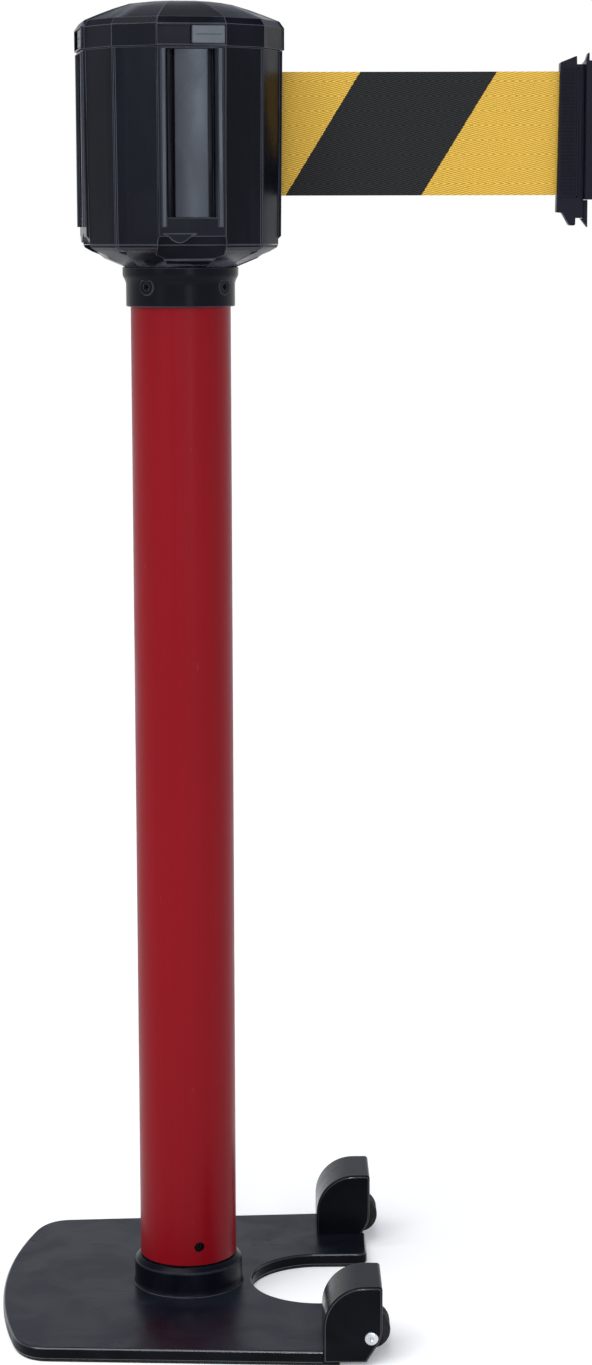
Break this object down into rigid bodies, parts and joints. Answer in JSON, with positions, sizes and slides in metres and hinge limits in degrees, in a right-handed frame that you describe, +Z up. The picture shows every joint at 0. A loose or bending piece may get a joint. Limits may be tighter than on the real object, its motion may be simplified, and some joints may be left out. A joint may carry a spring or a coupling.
{
  "type": "retractable belt stanchion",
  "caption": "Crowd control post with a flat notched base, tilt wheels, red tube and a faceted black head that lets out a striped webbing belt with an end clip.",
  "frame": {"origin": "on the floor under the axis of the post", "axes": "+Z up, +X the way the belt is pulled and towards the base's wheels"},
  "size_m": [0.4658, 0.3184, 1.0104],
  "materials": {
    "plate_black": "cast base with a smooth black coating",
    "gloss_black": "moulded black plastic, glossy",
    "rubber_black": "black rubber",
    "red_paint": "glossy red powder coat",
    "clip_navy": "very dark navy moulded plastic with fine ribs",
    "inner_grey": "dark grey plastic",
    "lock_grey": "slate grey plastic",
    "steel": "bright steel",
    "dark_steel": "black oxide steel",
    "webbing": "herringbone webbing, yellow with black slanted stripes"
  },
  "bodies": {
    "stand": {"axle_clip_front": "dark_steel", "axle_clip_rear": "dark_steel", "axle_pin_front": "steel", "axle_pin_rear": "steel", "base_bolt": "steel", "base_bolt_washer": "steel", "base_pad": "rubber_black", "base_plate": "plate_black", "belt_inner_run": "webbing", "belt_span": "webbing", "collar_screw_1": "dark_steel", "collar_screw_2": "dark_steel", "collar_screw_3": "dark_steel", "collar_screw_4": "dark_steel", "cover_screw_front": "steel", "cover_screw_rear": "steel", "foot_ring": "gloss_black", "foot_set_screw": "dark_steel", "guide_pin": "steel", "head_base": "gloss_black", "head_body": "gloss_black", "head_cap": "gloss_black", "head_collar": "gloss_black", "outlet_bezel": "gloss_black", "post_spigot": "steel", "post_tube": "red_paint", "power_spring": "dark_steel", "receiver_front": "gloss_black", "receiver_left": "gloss_black", "receiver_rear": "gloss_black", "shaft_clip": "dark_steel", "shaft_nut": "steel", "spool_shaft": "steel", "spring_cup": "inner_grey", "tie_screw_1": "dark_steel", "tie_screw_2": "dark_steel", "tie_screw_3": "dark_steel", "tie_screw_4": "dark_steel", "wheel_cover_front": "plate_black", "wheel_cover_rear": "plate_black"},
    "belt_clip": {"clip_shell_front": "clip_navy", "clip_shell_rear": "clip_navy", "clip_latch": "clip_navy", "clip_release_hook": "clip_navy", "clip_screw_1": "dark_steel", "clip_screw_2": "dark_steel", "clip_screw_3": "dark_steel"},
    "spool": {"spool_drum": "inner_grey", "belt_coil": "webbing", "lower_bush": "steel", "upper_bush": "steel"},
    "wheel_front": {"wheel_tyre_front": "rubber_black", "wheel_hub_front": "inner_grey"},
    "wheel_rear": {"wheel_tyre_rear": "rubber_black", "wheel_hub_rear": "inner_grey"},
    "lock_front": {"slide_lock_front": "lock_grey"},
    "lock_rear": {"slide_lock_rear": "lock_grey"},
    "lock_left": {"slide_lock_left": "lock_grey"}
  },
  "joints": [
    {"name": "belt_pull", "type": "slide", "parent": "stand", "child": "belt_clip", "axis": [1, 0, 0], "range_m": [-0.203, 0], "deforming": ["belt_span"]},
    {"name": "spool_spin", "type": "hinge", "parent": "stand", "child": "spool", "pos_m": [0, 0, 0.915], "axis": [0, 0, 1], "range_deg": [0, 390]},
    {"name": "wheel_front_spin", "type": "hinge", "parent": "stand", "child": "wheel_front", "pos_m": [0.1406, -0.1295, 0.0225], "axis": [0, 1, 0], "continuous": true},
    {"name": "wheel_rear_spin", "type": "hinge", "parent": "stand", "child": "wheel_rear", "pos_m": [0.1406, 0.1295, 0.0225], "axis": [0, 1, 0], "continuous": true},
    {"name": "lock_front_slide", "type": "slide", "parent": "stand", "child": "lock_front", "axis": [-0.9882, -0.153, 0], "range_m": [0, 0.0245]},
    {"name": "lock_rear_slide", "type": "slide", "parent": "stand", "child": "lock_rear", "axis": [0.9882, 0.153, 0], "range_m": [0, 0.0245]},
    {"name": "lock_left_slide", "type": "slide", "parent": "stand", "child": "lock_left", "axis": [-0.153, 0.9882, 0], "range_m": [0, 0.0245]}
  ],
  "couplings": [
    {"joint": "spool_spin", "follows": "belt_pull", "rad_per_m": -33.333}
  ]
}
